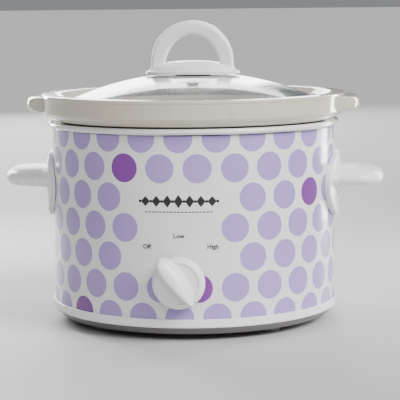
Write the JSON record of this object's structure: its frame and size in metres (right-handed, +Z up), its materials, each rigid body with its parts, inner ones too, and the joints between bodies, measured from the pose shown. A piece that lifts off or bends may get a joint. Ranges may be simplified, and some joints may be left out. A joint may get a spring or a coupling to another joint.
{
  "type": "slow cooker",
  "caption": "Round countertop slow cooker: dotted cylindrical heating base with side grips and a selector knob, loose stoneware crock, domed glass lid with an arched handle.",
  "frame": {"origin": "middle of the object's footprint, at the level of the feet; the housing's own axis is the vertical line at x = 0, y = 5.85 mm, because the knob stands out in front", "axes": "+Z up; the control knob is at the front, towards -Y; the two side grips and the crock's two lugs lie along X"},
  "size_m": [0.2916, 0.2442, 0.2274],
  "materials": {
    "printed_shell": "white enamel printed with lavender and purple dots, gloss",
    "white_trim": "white enamel, gloss",
    "white_plastic": "white moulded thermoplastic, semi-gloss",
    "grey_plastic": "grey moulded thermoplastic, satin",
    "glazed_stoneware": "cream glaze, gloss",
    "clear_glass": "clear tempered glass",
    "aluminised_steel": "aluminised, dull",
    "plated_steel": "zinc plated",
    "mica_band": "mica board, matt",
    "glass_wool": "loose glass fibre",
    "bakelite": "phenolic moulding, satin",
    "brass_tab": "stamped",
    "white_ceramic": "unglazed steatite",
    "grey_rubber": "moulded, matt",
    "grey_silicone": "silicone, matt",
    "red_sleeve": "silicone sleeving",
    "black_sleeve": "moulded rubber and sleeving",
    "green_sleeve": "silicone sleeving"
  },
  "bodies": {
    "housing": {"outer_shell": "printed_shell", "rim_ring": "white_trim", "inner_liner": "aluminised_steel", "heat_shield": "aluminised_steel", "heater_band": "mica_band", "heater_strap": "plated_steel", "strap_bolt": "plated_steel", "strap_nut": "plated_steel", "insulation_blanket": "glass_wool", "base_band": "white_plastic", "base_pan": "grey_plastic", "liner_spacer": "plated_steel", "liner_stud": "plated_steel", "base_nut": "plated_steel", "foot_front_left": "grey_rubber", "foot_front_right": "grey_rubber", "foot_rear_right": "grey_rubber", "foot_rear_left": "grey_rubber", "side_handle_right": "white_plastic", "handle_clamp_right": "plated_steel", "handle_screw_right_1": "plated_steel", "handle_screw_right_2": "plated_steel", "side_handle_left": "white_plastic", "handle_clamp_left": "plated_steel", "handle_screw_left_1": "plated_steel", "handle_screw_left_2": "plated_steel", "switch_housing": "bakelite", "switch_washer": "plated_steel", "switch_nut": "plated_steel", "switch_terminal_1": "brass_tab", "switch_terminal_2": "brass_tab", "switch_terminal_3": "brass_tab", "cord_gland": "black_sleeve", "gland_lock": "black_sleeve", "terminal_block": "white_ceramic", "thermal_fuse": "white_ceramic", "fuse_bracket": "plated_steel", "supply_lead": "red_sleeve", "low_heat_lead": "black_sleeve", "high_heat_lead": "black_sleeve", "neutral_lead": "red_sleeve", "earth_lead": "green_sleeve"},
    "knob": {"control_knob": "white_plastic", "knob_clip": "plated_steel", "switch_shaft": "plated_steel"},
    "crock": {"stoneware_crock": "glazed_stoneware"},
    "lid": {"glass_lid": "clear_glass", "lid_handle": "white_plastic", "lid_gasket": "grey_silicone", "lid_washer": "plated_steel", "lid_screw": "plated_steel"}
  },
  "joints": [
    {"name": "knob_turn", "type": "hinge", "parent": "housing", "child": "knob", "pos_m": [0, -0.1122, 0.0438], "axis": [0, 1, 0], "range_deg": [0, 77]},
    {"name": "crock_lift", "type": "slide", "parent": "housing", "child": "crock", "axis": [0, 0, 1], "range_m": [0, 0.115]},
    {"name": "lid_lift", "type": "slide", "parent": "crock", "child": "lid", "axis": [0, 0, 1], "range_m": [0, 0.06]}
  ]
}
